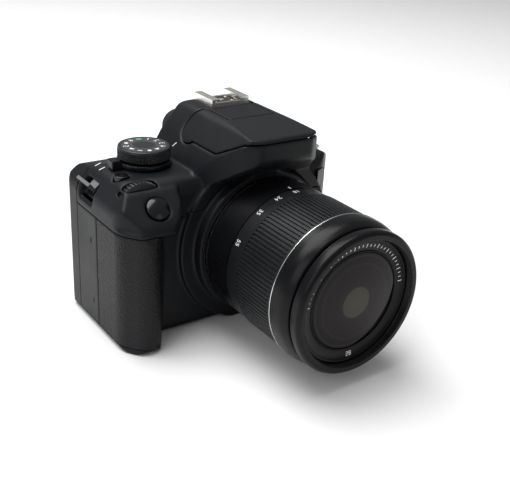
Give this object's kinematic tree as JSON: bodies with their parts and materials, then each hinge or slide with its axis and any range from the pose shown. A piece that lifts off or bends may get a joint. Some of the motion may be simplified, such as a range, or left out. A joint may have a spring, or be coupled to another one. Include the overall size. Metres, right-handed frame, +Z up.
{
  "type": "dslr camera",
  "caption": "Black digital reflex camera with standard zoom lens, lifting flash head, hot shoe, rubber grip and working dials, keys, doors and lens rings.",
  "frame": {"origin": "mouth of the tripod socket, in the plane of the base and straight under the optical axis", "axes": "+Z up, -Y the way the lens looks, +X towards the side away from the hand grip"},
  "size_m": [0.131, 0.136, 0.1013],
  "materials": {
    "body_plastic": "fine grained",
    "grip_skin": "pebbled",
    "control_plastic": "satin",
    "gloss_black": "polished",
    "lens_plastic": "satin",
    "shoe_steel": "brushed",
    "frame_metal": "as pressed",
    "bright_metal": "plated",
    "brass": "turned",
    "inner_black": "flat black",
    "optical_glass": "coated",
    "silvered": "silvered",
    "board_green": "lacquered",
    "battery_case": "satin",
    "display_glass": "clear"
  },
  "bodies": {
    "camera_body": {"front_cover": "body_plastic", "rear_cover": "body_plastic", "top_cover": "body_plastic", "bottom_cover": "body_plastic", "grip_rubber": "grip_skin", "chassis": "frame_metal", "mirror_box": "inner_black", "mount_ring": "bright_metal", "focusing_screen": "optical_glass", "pentamirror": "silvered", "eyepiece_lens": "optical_glass", "eyecup": "grip_skin", "shutter_unit": "inner_black", "image_sensor": "gloss_black", "main_board": "board_green", "lcd_window": "display_glass", "hot_shoe": "shoe_steel", "tripod_bush": "brass", "battery_pack": "battery_case", "strap_lugs": "bright_metal", "screws": "shoe_steel", "side_sockets": "shoe_steel", "lens_mount": "bright_metal", "lens_barrel": "lens_plastic", "lens_front_sleeve": "lens_plastic"},
    "flash_head": {"flash_head": "body_plastic", "flash_window": "optical_glass"},
    "focus_ring": {"focus_ring": "lens_plastic", "name_ring": "lens_plastic", "front_lens": "optical_glass"},
    "mode_dial": {"mode_dial": "control_plastic"},
    "power_lever": {"power_lever": "gloss_black"},
    "main_dial": {"main_dial": "control_plastic"},
    "shutter_button": {"shutter_button": "gloss_black"},
    "flash_button": {"flash_button": "gloss_black"},
    "release_button": {"release_button": "gloss_black"},
    "lock_pin": {"lock_pin": "shoe_steel"},
    "reflex_mirror": {"reflex_mirror": "silvered"},
    "battery_door": {"battery_door": "body_plastic"},
    "door_latch": {"door_latch": "control_plastic"},
    "terminal_cover": {"terminal_cover": "grip_skin"},
    "zoom_ring": {"zoom_ring": "lens_plastic"},
    "inner_barrel": {"inner_barrel": "lens_plastic"},
    "rear_lens_group": {"rear_lens_group": "optical_glass"},
    "af_switch": {"af_switch": "control_plastic"},
    "dioptric_knob": {"dioptric_knob": "control_plastic"},
    "live_view_button": {"live_view_button": "control_plastic"},
    "ae_lock_button": {"ae_lock_button": "control_plastic"},
    "af_point_button": {"af_point_button": "control_plastic"},
    "exposure_button": {"exposure_button": "control_plastic"},
    "quick_button": {"quick_button": "control_plastic"},
    "key_up": {"key_up": "control_plastic"},
    "key_down": {"key_down": "control_plastic"},
    "key_left": {"key_left": "control_plastic"},
    "key_right": {"key_right": "control_plastic"},
    "set_button": {"set_button": "control_plastic"},
    "display_button": {"display_button": "control_plastic"},
    "menu_button": {"menu_button": "control_plastic"},
    "play_button": {"play_button": "control_plastic"},
    "erase_button": {"erase_button": "control_plastic"}
  },
  "joints": [
    {"name": "mode_dial_turn", "type": "hinge", "parent": "camera_body", "child": "mode_dial", "pos_m": [-0.046, 0.0015, 0.082], "axis": [0, 0, 1], "continuous": true},
    {"name": "power_lever_turn", "type": "hinge", "parent": "camera_body", "child": "power_lever", "pos_m": [-0.046, 0.0015, 0.0775], "axis": [0, 0, -1], "range_deg": [0, 35]},
    {"name": "main_dial_turn", "type": "hinge", "parent": "camera_body", "child": "main_dial", "pos_m": [-0.059, -0.0194, 0.0658], "axis": [0, 1, 0], "continuous": true},
    {"name": "shutter_button_press", "type": "slide", "parent": "camera_body", "child": "shutter_button", "axis": [0, 0.6561, -0.7547], "range_m": [0, 0.0009], "stiffness_N_per_m": 400},
    {"name": "flash_button_press", "type": "slide", "parent": "camera_body", "child": "flash_button", "axis": [0, 0, -1], "range_m": [0, 0.0006], "stiffness_N_per_m": 300},
    {"name": "flash_head_lift", "type": "hinge", "parent": "camera_body", "child": "flash_head", "pos_m": [0, -0.002, 0.0915], "axis": [-1, 0, 0], "range_deg": [0, 65]},
    {"name": "release_button_press", "type": "slide", "parent": "camera_body", "child": "release_button", "axis": [0, 1, 0], "range_m": [0, 0.0025], "stiffness_N_per_m": 300},
    {"name": "lock_pin_draw", "type": "slide", "parent": "camera_body", "child": "lock_pin", "axis": [0, 1, 0], "range_m": [0, 0.0025]},
    {"name": "reflex_mirror_flip", "type": "hinge", "parent": "camera_body", "child": "reflex_mirror", "pos_m": [0, 0.0034, 0.0504], "axis": [-1, 0, 0], "range_deg": [0, 45]},
    {"name": "battery_door_swing", "type": "hinge", "parent": "camera_body", "child": "battery_door", "pos_m": [-0.0534, -0.00475, 0.0011], "axis": [0, -1, 0], "range_deg": [0, 100]},
    {"name": "door_latch_slide", "type": "slide", "parent": "battery_door", "child": "door_latch", "axis": [1, 0, 0], "range_m": [0, 0.002], "stiffness_N_per_m": 100},
    {"name": "terminal_cover_swing", "type": "hinge", "parent": "camera_body", "child": "terminal_cover", "pos_m": [0.0541, -0.0026, 0.037], "axis": [0, 0, -1], "range_deg": [0, 100]},
    {"name": "zoom_ring_turn", "type": "hinge", "parent": "camera_body", "child": "zoom_ring", "pos_m": [0, -0.06665, 0.04], "axis": [0, -1, 0], "range_deg": [0, 65]},
    {"name": "inner_barrel_extend", "type": "slide", "parent": "camera_body", "child": "inner_barrel", "axis": [0, -1, 0], "range_m": [0, 0.01]},
    {"name": "rear_lens_group_shift", "type": "slide", "parent": "camera_body", "child": "rear_lens_group", "axis": [0, -1, 0], "range_m": [0, 0.006]},
    {"name": "focus_ring_turn", "type": "hinge", "parent": "inner_barrel", "child": "focus_ring", "pos_m": [0, -0.0982, 0.04], "axis": [0, -1, 0], "range_deg": [0, 90]},
    {"name": "af_switch_slide", "type": "slide", "parent": "camera_body", "child": "af_switch", "axis": [0, 1, 0], "range_m": [0, 0.003]},
    {"name": "dioptric_knob_turn", "type": "hinge", "parent": "camera_body", "child": "dioptric_knob", "pos_m": [-0.0185, 0.025, 0.08], "axis": [1, 0, 0], "range_deg": [-100, 100]},
    {"name": "live_view_button_press", "type": "slide", "parent": "camera_body", "child": "live_view_button", "axis": [0, -1, 0], "range_m": [0, 0.0006], "stiffness_N_per_m": 300},
    {"name": "ae_lock_button_press", "type": "slide", "parent": "camera_body", "child": "ae_lock_button", "axis": [0, -1, 0], "range_m": [0, 0.0006], "stiffness_N_per_m": 300},
    {"name": "af_point_button_press", "type": "slide", "parent": "camera_body", "child": "af_point_button", "axis": [0, -1, 0], "range_m": [0, 0.0006], "stiffness_N_per_m": 300},
    {"name": "exposure_button_press", "type": "slide", "parent": "camera_body", "child": "exposure_button", "axis": [0, -1, 0], "range_m": [0, 0.0006], "stiffness_N_per_m": 300},
    {"name": "quick_button_press", "type": "slide", "parent": "camera_body", "child": "quick_button", "axis": [0, -1, 0], "range_m": [0, 0.0006], "stiffness_N_per_m": 300},
    {"name": "key_up_press", "type": "slide", "parent": "camera_body", "child": "key_up", "axis": [0, -1, 0], "range_m": [0, 0.0006], "stiffness_N_per_m": 300},
    {"name": "key_down_press", "type": "slide", "parent": "camera_body", "child": "key_down", "axis": [0, -1, 0], "range_m": [0, 0.0006], "stiffness_N_per_m": 300},
    {"name": "key_left_press", "type": "slide", "parent": "camera_body", "child": "key_left", "axis": [0, -1, 0], "range_m": [0, 0.0006], "stiffness_N_per_m": 300},
    {"name": "key_right_press", "type": "slide", "parent": "camera_body", "child": "key_right", "axis": [0, -1, 0], "range_m": [0, 0.0006], "stiffness_N_per_m": 300},
    {"name": "set_button_press", "type": "slide", "parent": "camera_body", "child": "set_button", "axis": [0, -1, 0], "range_m": [0, 0.0006], "stiffness_N_per_m": 300},
    {"name": "display_button_press", "type": "slide", "parent": "camera_body", "child": "display_button", "axis": [0, -1, 0], "range_m": [0, 0.0006], "stiffness_N_per_m": 300},
    {"name": "menu_button_press", "type": "slide", "parent": "camera_body", "child": "menu_button", "axis": [0, -1, 0], "range_m": [0, 0.0006], "stiffness_N_per_m": 300},
    {"name": "play_button_press", "type": "slide", "parent": "camera_body", "child": "play_button", "axis": [0, -1, 0], "range_m": [0, 0.0006], "stiffness_N_per_m": 300},
    {"name": "erase_button_press", "type": "slide", "parent": "camera_body", "child": "erase_button", "axis": [0, -1, 0], "range_m": [0, 0.0006], "stiffness_N_per_m": 300}
  ],
  "couplings": [
    {"joint": "lock_pin_draw", "follows": "release_button_press", "ratio": 1},
    {"joint": "inner_barrel_extend", "follows": "zoom_ring_turn", "m_per_rad": 0.0088},
    {"joint": "rear_lens_group_shift", "follows": "zoom_ring_turn", "m_per_rad": 0.0052}
  ]
}
